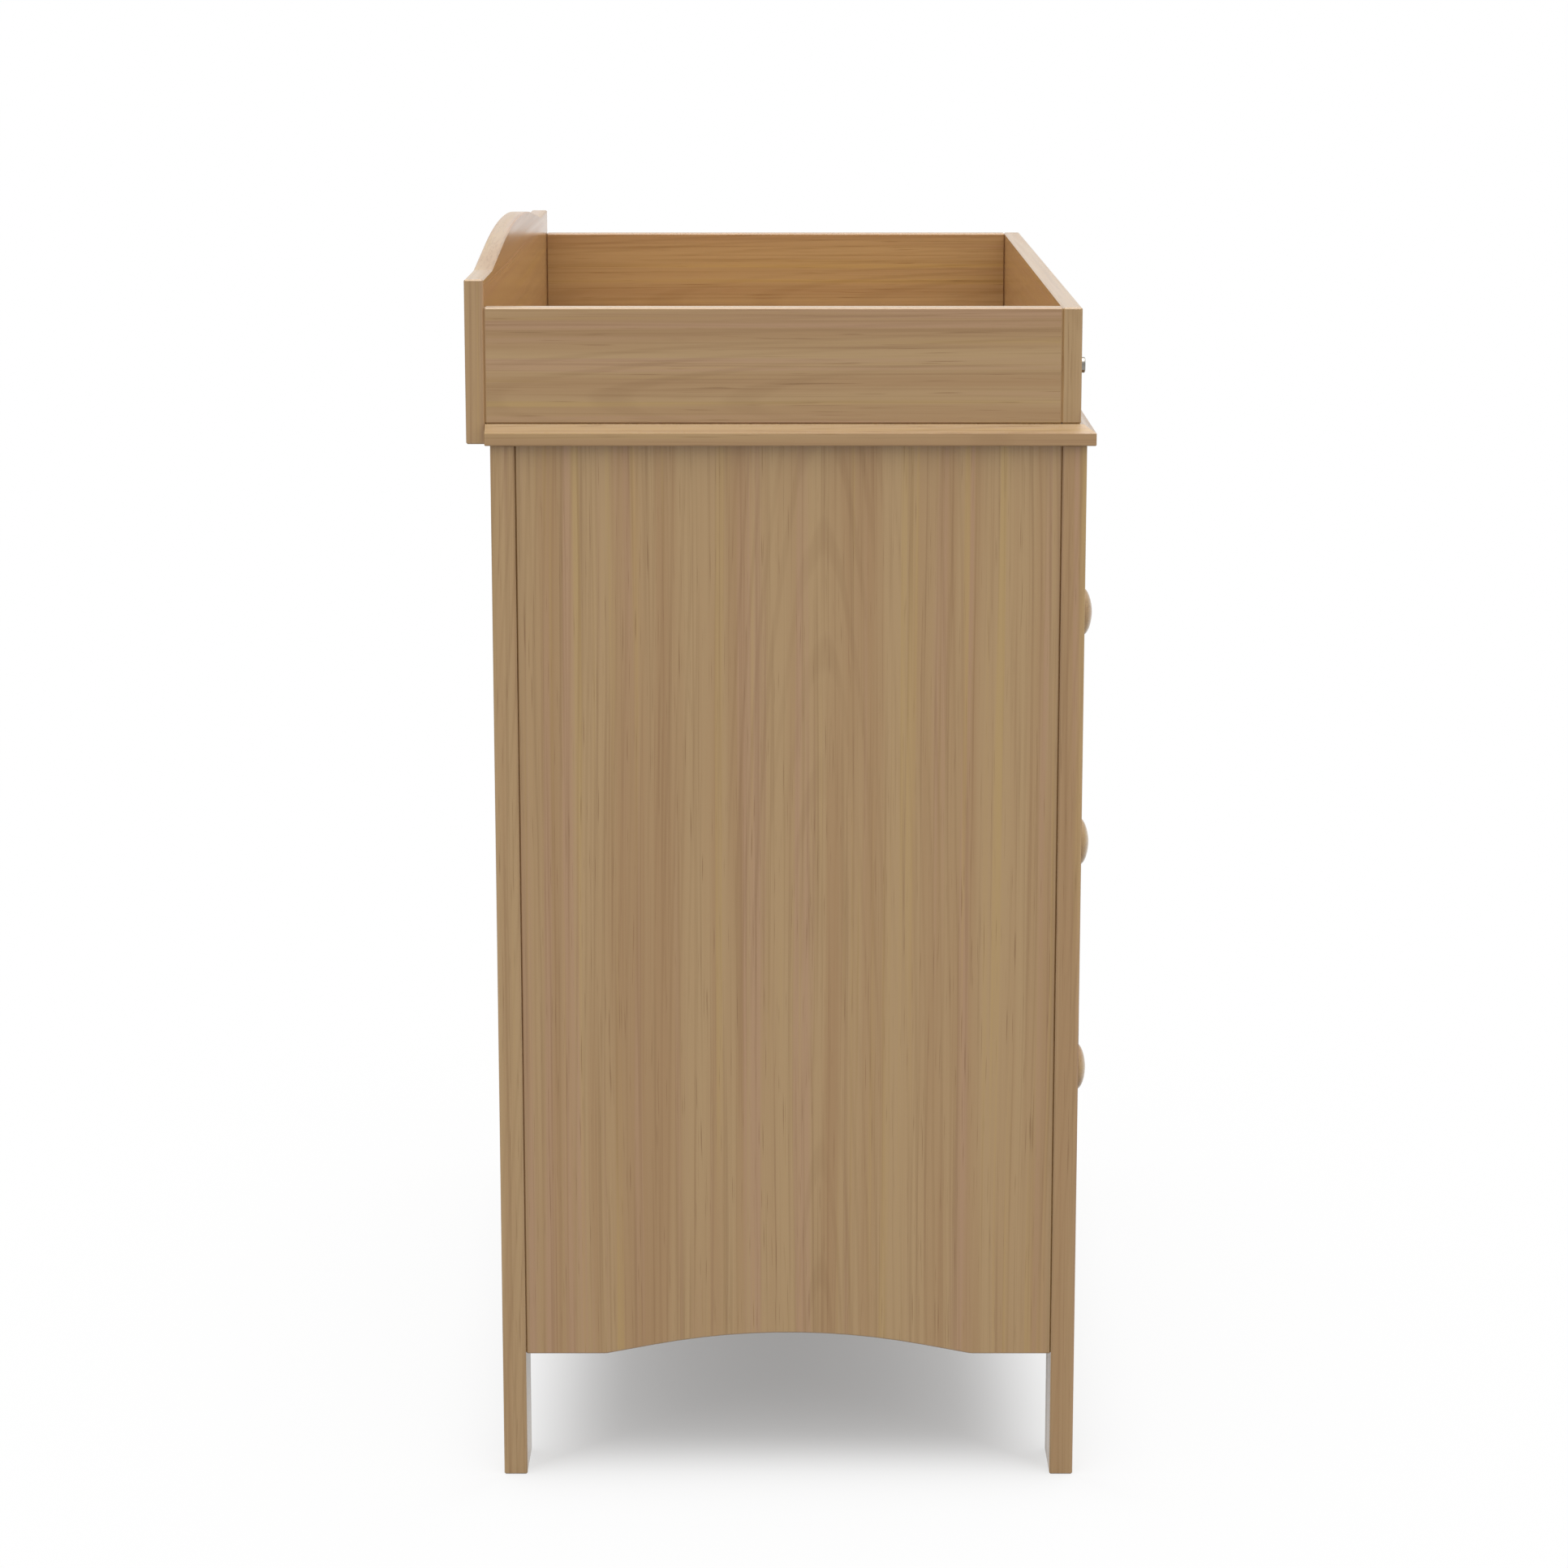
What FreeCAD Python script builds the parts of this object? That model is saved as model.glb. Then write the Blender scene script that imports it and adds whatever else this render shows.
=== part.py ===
"""Changing dresser: three drawers on roller runners, under a changing topper with a crowned back.

Millimetres, +Z up. The front faces -Y and the length runs along X. The origin is on the floor, under
the middle of the whole dresser, knobs and backboard included. Left and right are as seen from the
front, and the right end is the left end's mirror image.
"""
import FreeCAD, Part
import os
import re
import Sketcher

Vector = FreeCAD.Vector
Rotation = FreeCAD.Rotation

# Each size that can be set by itself, in mm.
SIZES = {
    # Case
    "case_length": 855,  # over the outer faces of the legs
    "case_depth": 493,  # over the front and rear faces of the legs
    "ground_clearance": 109,  # floor to the lower edges of the panels
    "leg_width": 57,
    "leg_thickness": 20,
    "side_recess": 3,  # legs' outer faces to the side panels
    "side_thickness": 15,
    "side_arch_flat": 69,  # the straight stretch at each end of the arched edge
    "side_arch_run": 42,  # the sloping straight run into the arc, along the edge
    "side_arch_rise": 19,
    "front_recess": 1,  # legs' front faces to the rails and drawer fronts
    "rail_thickness": 18,
    "top_rail_height": 71,
    "bottom_rail_height": 61,
    "apron_height": 88,
    "apron_arch_flat": 100,
    "apron_arch_run": 70,
    "apron_arch_rise": 30,
    "back_thickness": 3,
    "back_inset": 9,  # legs' rear faces to the back panel
    "groove_depth": 6,
    "groove_clearance": 0.2,
    "edge_easing": 1.2,  # chamfered arrises of the boards that show
    # Top
    "top_thickness": 17,
    "top_overhang_front": 7,
    "top_overhang_end": 7.5,
    "top_overhang_rear": 4,
    "top_bevel_width": 10,
    "top_bevel_height": 6.7,
    # Topper
    "topper_inset": 12,  # the top's edges to the topper
    "topper_height": 96,
    "topper_board": 16,
    "backboard_shoulder": 23,  # how far the backboard's shoulders stand above the topper
    "backboard_flat": 98,
    "backboard_run": 127,
    "backboard_crown": 22.5,
    # Drawers
    "drawer_front_height": 206,
    "drawer_front_thickness": 18,
    "drawer_gap": 4,  # between two drawer fronts
    "drawer_end_gap": 3,  # drawer fronts to the apron and the top rail
    "drawer_side_gap": 3,  # drawer fronts to the legs
    "drawer_length": 400,  # of the box behind the front, and of its runners
    "drawer_side_height": 150,
    "drawer_side_thickness": 12,
    "drawer_bottom_thickness": 3,
    "drawer_bottom_rise": 10,  # the sides' lower edges to the bottom
    "drawer_groove_depth": 5,
    "inner_easing": 0.8,  # chamfered arrises of the drawer boxes and cleats
    "drawer_travel": 300,
    # Knobs
    "knob_spacing": 424,
    "knob_projection": 25,
    "knob_radius": 21,
    "knob_foot_radius": 9,
    "knob_waist_radius": 8,
    "knob_waist": 5,  # the drawer front to the waist
    "knob_underside": 13,  # the drawer front to the head's underside
    "knob_rim": 2,  # thickness of the head's edge
    "knob_rim_bevel": 2,
    "knob_dome_radius": 11,  # where the crown's steeper turning meets its flatter one
    "knob_dome": 1.5,
    "knob_screw_depth": 12,
    # Roller runners: u is measured inwards from the cleat's face, w up from the lower track
    "cleat_height": 45,
    "runner_space": 12.7,  # cleat's face to the drawer's side
    "runner_rise": 24,  # the drawer front's lower edge to the track
    "runner_setback": 3,  # the front legs to the front ends of the cabinet runners
    "runner_wall": 1.2,
    "runner_flange": 10.2,
    "runner_track": 19.6,  # clear height between the two flanges
    "bearer_flange": 9.1,
    "bearer_drop": 3,  # the track to the underside of the drawer's side
    "roller_radius": 8.5,
    "roller_width": 6,
    "roller_clearance": 0.3,  # rollers to the tracks
    "roller_side_gap": 1.2,  # the cabinet rollers to their runner's web
    "roller_setback": 12,  # runner's end to the roller's axis
    "axle_radius": 2.5,
    "axle_clearance": 0.08,
    "axle_head_radius": 4.5,
    "axle_head": 1,
    "axle_head_gap": 0.2,
    "bearer_roller_gap": 0.9,  # the drawer rollers to their runner's web
    "stop_width": 5.8,
    "stop_height": 11,
    "stop_lift": 3,
    # Fastenings
    "bore_clearance": 0.1,
    "fixing_pitch": 32,
    "cam_radius": 7.5,
    "cam_depth": 12.5,
    "cam_distance": 34,  # a cam's centre to the joint
    "cam_bolt_radius": 3.5,
    "cam_bolt_grip": 11,  # how deep a cam's bolt goes into the other board
    "cam_inset": 60,
    "dowel_radius": 4,
    "dowel_length": 30,
    "side_dowel_inset": 70,
    "drawer_dowel_length": 20,
    "screw_radius": 2,
    "screw_head_radius": 4,
    "screw_head": 2.5,
    "screw_grip": 25,
    "screw_inset": 28,  # the drawer sides' fastenings from their lower and upper edges
    "backboard_screw_inset": 22,
    "top_screw_offset": 200,  # the dresser's middle to the screws into the top's rear edge
    "bolt_radius": 3,
    "bolt_grip": 40,  # the front rail's rear face to the bolt's end
    "bolt_head_radius": 6.5,
    "bolt_head": 3,
    "bolt_head_bevel": 0.6,
    "bolt_socket": 5,  # across the corners of the hexagonal socket
    "bolt_socket_depth": 2,
    "insert_radius": 5,
    "insert_length": 12,
}

# Places and lengths that follow from them.
LAYOUT = {
    "front_y": "-(case_depth + top_overhang_rear + topper_board + front_recess - knob_projection) / 2",
    "rear_y": "front_y + case_depth",
    "end_x": "case_length / 2",
    "opening_x": "end_x - leg_width",
    "apron_top": "ground_clearance + apron_height",
    "drawer_pitch": "drawer_front_height + drawer_gap",
    "drawer_bottom_z": "apron_top + drawer_end_gap",
    "drawer_middle_z": "drawer_bottom_z + drawer_pitch",
    "drawer_top_z": "drawer_middle_z + drawer_pitch",
    "top_rail_z": "drawer_top_z + drawer_front_height + drawer_end_gap",
    "case_height": "top_rail_z + top_rail_height",
    "top_z": "case_height + top_thickness",
    "panel_front_y": "front_y + leg_thickness",
    "panel_rear_y": "rear_y - leg_thickness",
    "panel_y": "(panel_front_y + panel_rear_y) / 2",
    "side_outer_x": "end_x - side_recess",
    "side_inner_x": "side_outer_x - side_thickness",
    "side_middle_x": "side_outer_x - side_thickness / 2",
    "rail_front_y": "front_y + front_recess",
    "rail_middle_y": "rail_front_y + rail_thickness / 2",
    "rail_rear_y": "rail_front_y + rail_thickness",
    "rear_rail_y": "rear_y - rail_thickness",
    "rear_rail_middle_y": "rear_y - rail_thickness / 2",
    "bottom_rail_top": "ground_clearance + bottom_rail_height",
    "back_y": "rear_y - back_inset - back_thickness",
    "top_rear_y": "rear_y + top_overhang_rear",
    "top_length": "case_length + 2 * top_overhang_end",
    "top_depth": "case_depth + top_overhang_front + top_overhang_rear",
    "topper_x": "top_length / 2 - topper_inset",
    "topper_front_y": "front_y - top_overhang_front + topper_inset",
    "topper_inner_y": "topper_front_y + topper_board",
    "topper_middle_x": "topper_x - topper_board / 2",
    "topper_middle_z": "top_z + topper_height / 2",
    "shoulder_z": "top_z + topper_height + backboard_shoulder",
    "box_front_y": "rail_front_y + drawer_front_thickness",
    "box_rear_y": "box_front_y + drawer_length",
    "box_x": "opening_x - runner_space",
    "box_inner_x": "box_x - drawer_side_thickness",
    "side_lift": "runner_rise - bearer_drop",
    "bottom_lift": "side_lift + drawer_bottom_rise",
    "runner_front_y": "panel_front_y + runner_setback",
    "roller_lift": "roller_radius + roller_clearance",
    "cabinet_roller_y": "runner_front_y + roller_setback",
    "cabinet_roller_u": "runner_wall + roller_side_gap",
    "bearer_web_u": "runner_space - runner_wall",
    "bearer_roller_y": "box_rear_y - roller_setback",
    "bearer_roller_u": "bearer_web_u - bearer_roller_gap - roller_width",
    "bearer_top_w": "roller_lift + roller_radius + roller_clearance + runner_wall",
    "stop_y": "bearer_roller_y - drawer_travel - roller_radius - roller_clearance",
}

DRAWERS = ("bottom", "middle", "top")
FASTENING_SIDES = 8

document = FreeCAD.newDocument("changing_dresser")
sheet = document.addObject("Spreadsheet::Sheet", "Sizes")
layout = document.addObject("App::VarSet", "Layout")
nodes = {}
cutters = {}


# ---------------------------------------------------------------- sizes and formulas


def linked(formula):
    """The formula with each size or place pointing at the sheet or the layout."""

    def link(match):
        word = match.group()
        if word in SIZES:
            return "Sizes." + word
        return "Layout." + word if word in LAYOUT else word

    return re.sub(r"[a-z]\w*", link, formula)


def value(formula):
    """What a formula comes to now."""
    return float(sheet.evalExpression(linked(formula)))


def bind(item, **formulas):
    """Tie properties of an object to formulas."""
    for name, formula in formulas.items():
        item.setExpression(name, linked(formula))


def place(item, x="0", y="0", z="0"):
    """Tie an object's place to formulas."""
    for axis, formula in zip("xyz", (x, y, z)):
        item.setExpression("Placement.Base." + axis, linked(formula))


def fill_sheet():
    """Write the sizes into the sheet and work out the layout."""
    for row, (name, size) in enumerate(SIZES.items(), start=1):
        sheet.set(f"A{row}", name)
        sheet.set(f"B{row}", str(size))
        sheet.setAlias(f"B{row}", name)
    document.recompute()
    for name in LAYOUT:
        layout.addProperty("App::PropertyFloat", name)
    for name, formula in LAYOUT.items():
        bind(layout, **{name: formula})
    document.recompute()


# ---------------------------------------------------------------- forms


def board(name, x, y, z, length, depth, height, easing="edge_easing"):
    """A planed board with eased edges, from its lowest corner."""
    body = document.addObject("PartDesign::Body", name)
    block = body.newObject("PartDesign::AdditiveBox", name + "_block")
    bind(block, Length=length, Width=depth, Height=height)
    place(body, x, y, z)
    return eased(body, block, easing) if easing else body


def eased(body, feature, easing):
    """Chamfer all edges of a body's last feature a little, as sanding does."""
    chamfer = body.newObject("PartDesign::Chamfer", body.Name + "_easing")
    chamfer.Base = (feature, [])
    chamfer.UseAllEdges = True
    bind(chamfer, Size=easing)
    return body


def new_sketch(body, plane):
    """A sketch on one of the body's own planes."""
    sketch = body.newObject("Sketcher::SketchObject", body.Name + "_sketch")
    origin = body.Origin.OriginFeatures
    sketch.AttachmentSupport = [(next(item for item in origin if item.Role == plane), "")]
    sketch.MapMode = "FlatFace"
    return sketch


def constrain(sketch, kind, *where):
    """Add a geometric constraint."""
    sketch.addConstraint(Sketcher.Constraint(kind, *where))


def dimension(sketch, name, formula, kind, *where):
    """Add a named dimension that follows a formula."""
    index = sketch.addConstraint(Sketcher.Constraint(kind, *where, value(formula)))
    sketch.renameConstraint(index, name)
    bind(sketch, **{"Constraints." + name: formula})


def padded(body, sketch, length):
    """Give a closed sketch its thickness."""
    pad = body.newObject("PartDesign::Pad", body.Name + "_pad")
    pad.Profile = sketch
    bind(pad, Length=length)
    return pad


def outline(sketch, corners):
    """A closed outline of straight lines whose corners are dimensioned from the sketch's origin."""
    points = [Vector(value(u), value(v), 0) for u, v in corners]
    count = len(points)
    for index, point in enumerate(points):
        sketch.addGeometry(Part.LineSegment(point, points[(index + 1) % count]))
    for index in range(count):
        constrain(sketch, "Coincident", index, 2, (index + 1) % count, 1)
    for index, (u, v) in enumerate(corners):
        dimension(sketch, f"corner_{index}_u", u, "DistanceX", -1, 1, index, 1)
        dimension(sketch, f"corner_{index}_v", v, "DistanceY", -1, 1, index, 1)


def arched_board(name, plane, width, height, flat, run, rise, thickness):
    """A board with one arched edge, centred on that edge.

    The edge is flat at both ends, kinks into a sloping straight run, and meets an arc over the
    middle at a tangent. The board lies above the edge, or below it where the height is negative.
    """
    body = document.addObject("PartDesign::Body", name)
    sketch = new_sketch(body, plane)
    half, kink = value(width) / 2, value(width) / 2 - value(flat)
    arc_half = kink - value(run)
    rise_now, far = value(rise), value(height)
    slope_rise = rise_now * value(run) * 2 / (kink + value(run))
    arc_points = [Vector(arc_half, slope_rise, 0), Vector(0, rise_now, 0), Vector(-arc_half, slope_rise, 0)]
    corners = [
        Vector(-half, 0, 0),
        Vector(-kink, 0, 0),
        arc_points[2],
        arc_points[0],
        Vector(kink, 0, 0),
        Vector(half, 0, 0),
        Vector(half, far, 0),
        Vector(-half, far, 0),
    ]
    left_flat, left_run, right_run, right_flat, right_end, far_edge, left_end = [
        sketch.addGeometry(Part.LineSegment(corners[start], corners[(start + 1) % 8]))
        for start in (0, 1, 3, 4, 5, 6, 7)
    ]
    arc = sketch.addGeometry(Part.Arc(*arc_points))
    crown = sketch.addGeometry(Part.Point(Vector(0, rise_now, 0)))
    for first, second in (
        (left_flat, left_run),
        (right_run, right_flat),
        (right_flat, right_end),
        (right_end, far_edge),
        (far_edge, left_end),
        (left_end, left_flat),
    ):
        constrain(sketch, "Coincident", first, 2, second, 1)
    constrain(sketch, "Tangent", left_run, 2, arc, 2)
    constrain(sketch, "Coincident", arc, 1, right_run, 1)
    for line in (left_flat, far_edge):
        constrain(sketch, "Horizontal", line)
    for line in (right_end, left_end):
        constrain(sketch, "Vertical", line)
    constrain(sketch, "PointOnObject", left_flat, 1, -1)
    constrain(sketch, "Symmetric", left_flat, 1, right_flat, 2, -2)
    constrain(sketch, "Symmetric", left_run, 1, right_run, 2, -2)
    constrain(sketch, "Symmetric", arc, 2, arc, 1, -2)
    constrain(sketch, "PointOnObject", crown, 1, -2)
    constrain(sketch, "PointOnObject", crown, 1, arc)
    dimension(sketch, "flat", flat, "DistanceX", left_flat, 1, left_flat, 2)
    dimension(sketch, "run", run, "DistanceX", left_run, 1, left_run, 2)
    dimension(sketch, "rise", rise, "DistanceY", -1, 1, crown, 1)
    dimension(sketch, "width", width, "DistanceX", left_flat, 1, right_flat, 2)
    dimension(sketch, "height", height, "DistanceY", right_end, 1, right_end, 2)
    return eased(body, padded(body, sketch, thickness), "edge_easing")


TURNS = {
    "x": Rotation(Vector(0, 1, 0), 90),
    "y": Rotation(Vector(1, 0, 0), -90),
    "z": Rotation(),
}


def rod(name, axis, x, y, z, length, radius):
    """A hidden fastening or its bore, eight-sided, from a point in the axis's own direction."""
    item = document.addObject("Part::Prism", name)
    item.Polygon = FASTENING_SIDES
    item.Placement = FreeCAD.Placement(Vector(), TURNS[axis])
    place(item, x, y, z)
    bind(item, Circumradius=radius, Height=length)
    return item


def slab(name, x, y, z, length, depth, height):
    """A plain box, which cuts grooves."""
    item = document.addObject("Part::Box", name)
    place(item, x, y, z)
    bind(item, Length=length, Width=depth, Height=height)
    return item


def group(name, items):
    """Separate solids as one node."""
    item = document.addObject("Part::Compound", name)
    item.Links = items
    return item


def mirrored(name, source):
    """The same piece at the dresser's right end."""
    item = document.addObject("Part::Mirroring", name)
    item.Source = source
    item.Normal = Vector(1, 0, 0)
    return item


def pair(name, source):
    """A piece and its mirror image as one node."""
    return group(name, [source, mirrored(name + "_right", source)])


def fastener(name, axis, x, y, z, length, radius, through):
    """A fastening, with its bore in each board that it goes through."""
    bore = rod(name + "_bore", axis, x, y, z, length, f"{radius} + bore_clearance")
    for board_name in through:
        cutters.setdefault(board_name, []).append(bore)
    return rod(name, axis, x, y, z, length, radius)


def machined(name, blank, both_ends=False):
    """The board with the grooves and bores that belong to it, at its left end or at both."""
    tools = cutters.get(name, [])
    if both_ends:
        tools = tools + [mirrored(f"{name}_tool_{index}", tool) for index, tool in enumerate(tools)]
    item = document.addObject("Part::Cut", name)
    item.Base = blank
    item.Tool = group(name + "_tools", tools)
    return item


def keep(name, item):
    """Name a finished sub-part."""
    item.Label = name
    nodes[name] = item


def keep_both(name, item):
    """Name a finished piece of the left end and its mirror image."""
    keep(name + "_left", item)
    keep(name + "_right", mirrored(name + "_right", item))


# ---------------------------------------------------------------- case


def cam_joint(name, axis, cam, bolt, cam_board, bolt_board):
    """A cam lock in one board and the bolt that it pulls, which stands in the other."""
    cam_axis, cam_place = cam
    lock = fastener(name + "_cam", cam_axis, *cam_place, "cam_depth", "cam_radius", [cam_board])
    length = "cam_distance - cam_radius + cam_bolt_grip"
    stud = fastener(name + "_bolt", axis, *bolt, length, "cam_bolt_radius", [cam_board, bolt_board])
    return lock, stud


def rail_joints():
    """Cam locks and dowels between the rails and the left legs."""
    locks, studs, dowels = [], [], []
    rails = (
        ("front_top_rail", "leg_front_left", "top_rail_z + top_rail_height / 2", "rail_middle_y"),
        ("front_apron", "leg_front_left", "ground_clearance + apron_height / 2", "rail_middle_y"),
        ("rear_top_rail", "leg_rear_left", "top_rail_z + top_rail_height / 2", "rear_rail_middle_y"),
        (
            "rear_bottom_rail",
            "leg_rear_left",
            "ground_clearance + bottom_rail_height / 2",
            "rear_rail_middle_y",
        ),
    )
    for rail, leg, middle_z, y in rails:
        cam_y = "rail_rear_y - cam_depth" if rail.startswith("front") else "rear_rail_y"
        cam_z = f"{middle_z} + fixing_pitch / 2"
        lock, stud = cam_joint(
            rail + "_joint",
            "x",
            ("y", ("-opening_x + cam_distance", cam_y, cam_z)),
            ("-opening_x - cam_bolt_grip", y, cam_z),
            rail,
            leg,
        )
        locks.append(lock)
        studs.append(stud)
        dowel_place = ("-opening_x - dowel_length / 2", y, f"{middle_z} - fixing_pitch / 2")
        dowels.append(
            fastener(rail + "_dowel", "x", *dowel_place, "dowel_length", "dowel_radius", [rail, leg])
        )
    return locks, studs, dowels


def top_joints():
    """Cam locks that hold the top on the left side panel."""
    locks, studs = [], []
    for end, y in (("front", "panel_front_y + cam_inset"), ("rear", "panel_rear_y - cam_inset")):
        lock, stud = cam_joint(
            f"top_{end}_joint",
            "z",
            ("x", ("-side_inner_x - cam_depth", y, "case_height - cam_distance")),
            ("-side_middle_x", y, "case_height - cam_distance + cam_radius"),
            "side_panel_left",
            "top_panel",
        )
        locks.append(lock)
        studs.append(stud)
    return locks, studs


def side_dowels():
    """Dowels between the left side panel and its legs."""
    dowels = []
    levels = (
        ("low", "ground_clearance + side_dowel_inset"),
        ("middle", "(ground_clearance + case_height) / 2"),
        ("high", "case_height - side_dowel_inset"),
    )
    for leg, joint_y in (("leg_front_left", "panel_front_y"), ("leg_rear_left", "panel_rear_y")):
        for level, z in levels:
            start = ("-side_middle_x", f"{joint_y} - dowel_length / 2", z)
            name = f"{leg}_{level}_dowel"
            boards = ["side_panel_left", leg]
            dowels.append(fastener(name, "y", *start, "dowel_length", "dowel_radius", boards))
    return dowels


def back_groove():
    """The groove round the rear opening that holds the back panel."""
    groove = slab(
        "back_groove",
        "-opening_x - groove_depth",
        "back_y - groove_clearance",
        "bottom_rail_top - groove_depth",
        "2 * (opening_x + groove_depth)",
        "back_thickness + 2 * groove_clearance",
        "top_rail_z - bottom_rail_top + 2 * groove_depth",
    )
    for name in ("leg_rear_left", "rear_top_rail", "rear_bottom_rail"):
        cutters.setdefault(name, []).append(groove)


def legs():
    """Four straight posts, square in plan at the case's corners."""
    for name, y in (("leg_front", "front_y"), ("leg_rear", "panel_rear_y")):
        blank = board(name + "_blank", "-end_x", y, "0", "leg_width", "leg_thickness", "case_height")
        keep_both(name, machined(name + "_left", blank))


def side_panels():
    """End panels with an arched lower edge, set a little back from the legs."""
    blank = arched_board(
        "side_panel_blank",
        "YZ_Plane",
        "panel_rear_y - panel_front_y",
        "case_height - ground_clearance",
        "side_arch_flat",
        "side_arch_run",
        "side_arch_rise",
        "side_thickness",
    )
    place(blank, "-side_outer_x", "panel_y", "ground_clearance")
    keep_both("side_panel", machined("side_panel_left", blank))


def rails():
    """The rails between the legs, the one under the drawers with an arched lower edge."""
    straight = (
        ("front_top_rail", "rail_front_y", "top_rail_z", "top_rail_height"),
        ("rear_top_rail", "rear_rail_y", "top_rail_z", "top_rail_height"),
        ("rear_bottom_rail", "rear_rail_y", "ground_clearance", "bottom_rail_height"),
    )
    for name, y, z, height in straight:
        blank = board(name + "_blank", "-opening_x", y, z, "2 * opening_x", "rail_thickness", height)
        keep(name, machined(name, blank, both_ends=True))
    blank = arched_board(
        "front_apron_blank",
        "XZ_Plane",
        "2 * opening_x",
        "apron_height",
        "apron_arch_flat",
        "apron_arch_run",
        "apron_arch_rise",
        "rail_thickness",
    )
    place(blank, "0", "rail_rear_y", "ground_clearance")
    keep("front_apron", machined("front_apron", blank, both_ends=True))


def back_panel():
    """A thin board that stops short of the bottom of its groove."""
    inset = "groove_depth - groove_clearance"
    panel = board(
        "back_panel_blank",
        f"-opening_x - ({inset})",
        "back_y",
        f"bottom_rail_top - ({inset})",
        f"2 * (opening_x + {inset})",
        "back_thickness",
        f"top_rail_z - bottom_rail_top + 2 * ({inset})",
        easing=None,
    )
    keep("back_panel", panel)


def top_panel():
    """The top: a square-edged board under a frustum that bevels its front and both ends."""
    body = document.addObject("PartDesign::Body", "top_panel_blank")
    block = body.newObject("PartDesign::AdditiveBox", "top_block")
    bind(block, Length="top_length", Width="top_depth", Height="top_thickness - top_bevel_height")
    place(block, "-top_length / 2", "-top_depth", "0")
    document.recompute()
    underside = [f"Edge{n}" for n, edge in enumerate(block.Shape.Edges, 1) if edge.CenterOfMass.z < 1]
    chamfer = body.newObject("PartDesign::Chamfer", "top_underside_easing")
    chamfer.Base = (block, underside)
    bind(chamfer, Size="inner_easing")
    bevel = body.newObject("PartDesign::AdditiveWedge", "top_bevel")
    bevel.Placement = FreeCAD.Placement(Vector(), Rotation(Vector(1, 0, 0), 90))
    place(bevel, "-top_length / 2", "0", "top_thickness - top_bevel_height")
    bind(bevel, Xmin="0", Xmax="top_length", Ymin="0", Ymax="top_bevel_height", Zmin="0", Zmax="top_depth")
    bind(bevel, X2min="top_bevel_width", X2max="top_length - top_bevel_width")
    bind(bevel, Z2min="0", Z2max="top_depth - top_bevel_width")
    place(body, "0", "top_rear_y", "case_height")
    keep("top_panel", machined("top_panel", body, both_ends=True))


def runner_cleats():
    """Battens that stand in from the side panel to the legs' inner faces, one behind each drawer's end."""
    cleats = [
        board(
            f"cleat_{level}",
            "-side_inner_x",
            "panel_front_y",
            f"drawer_{level}_z + runner_rise + (runner_track - cleat_height) / 2",
            "side_inner_x - opening_x",
            "panel_rear_y - panel_front_y",
            "cleat_height",
            easing="inner_easing",
        )
        for level in DRAWERS
    ]
    keep_both("runner_cleats", group("cleats_left", cleats))


# ---------------------------------------------------------------- topper


def topper_ends():
    """The low boards at the tray's ends, between the front rail and the backboard."""
    blank = board(
        "topper_end_blank",
        "-topper_x",
        "topper_inner_y",
        "top_z",
        "topper_board",
        "top_rear_y - topper_inner_y",
        "topper_height",
    )
    keep_both("topper_end", machined("topper_end_left", blank))


def topper_front_rail():
    """The board along the front of the tray, which covers the end boards' front ends."""
    blank = board(
        "topper_front_rail_blank",
        "-topper_x",
        "topper_front_y",
        "top_z",
        "2 * topper_x",
        "topper_board",
        "topper_height",
    )
    keep("topper_front_rail", machined("topper_front_rail", blank, both_ends=True))


def topper_backboard():
    """The crowned board behind the tray, which reaches down behind the top's rear edge."""
    blank = arched_board(
        "topper_backboard_blank",
        "XZ_Plane",
        "2 * topper_x",
        "case_height - shoulder_z",
        "backboard_flat",
        "backboard_run",
        "backboard_crown",
        "topper_board",
    )
    place(blank, "0", "top_rear_y + topper_board", "shoulder_z")
    keep("topper_backboard", machined("topper_backboard", blank, both_ends=True))


def connector_bolt():
    """The bright bolt with a flat round head that shows on the front rail, and its threaded insert."""
    shank_length = "topper_board + bolt_grip"
    head = document.addObject("PartDesign::Body", "topper_bolt_left")
    shank = head.newObject("PartDesign::AdditivePrism", "bolt_shank")
    shank.Polygon = FASTENING_SIDES
    bind(shank, Circumradius="bolt_radius", Height=shank_length)
    disc = head.newObject("PartDesign::AdditiveCylinder", "bolt_head")
    bind(disc, Radius="bolt_head_radius", Height="bolt_head")
    place(disc, z="-bolt_head")
    document.recompute()
    rim = max(range(len(disc.Shape.Edges)), key=lambda index: -disc.Shape.Edges[index].CenterOfMass.z)
    bevel = head.newObject("PartDesign::Chamfer", "bolt_rim")
    bevel.Base = (disc, [f"Edge{rim + 1}"])
    bind(bevel, Size="bolt_head_bevel")
    socket = head.newObject("PartDesign::SubtractivePrism", "bolt_socket")
    socket.Polygon = 6
    bind(socket, Circumradius="bolt_socket / 2", Height="bolt_socket_depth")
    place(socket, z="-bolt_head")
    head.Placement = FreeCAD.Placement(Vector(), TURNS["y"])
    place(head, "-topper_middle_x", "topper_front_y", "topper_middle_z")
    keep("topper_bolts", pair("topper_bolts", head))
    start = ("-topper_middle_x", "topper_front_y", "topper_middle_z")
    name = "topper_insert_left"
    seat = ("-topper_middle_x", "topper_inner_y", "topper_middle_z")
    blank = fastener(name + "_blank", "y", *seat, "insert_length", "insert_radius", ["topper_end_left"])
    for part in ("topper_front_rail", "topper_end_left", name):
        bore = rod(part + "_bolt_bore", "y", *start, shank_length, "bolt_radius + bore_clearance")
        cutters.setdefault(part, []).append(bore)
    keep("topper_inserts", pair("topper_inserts", machined(name, blank)))


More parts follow.
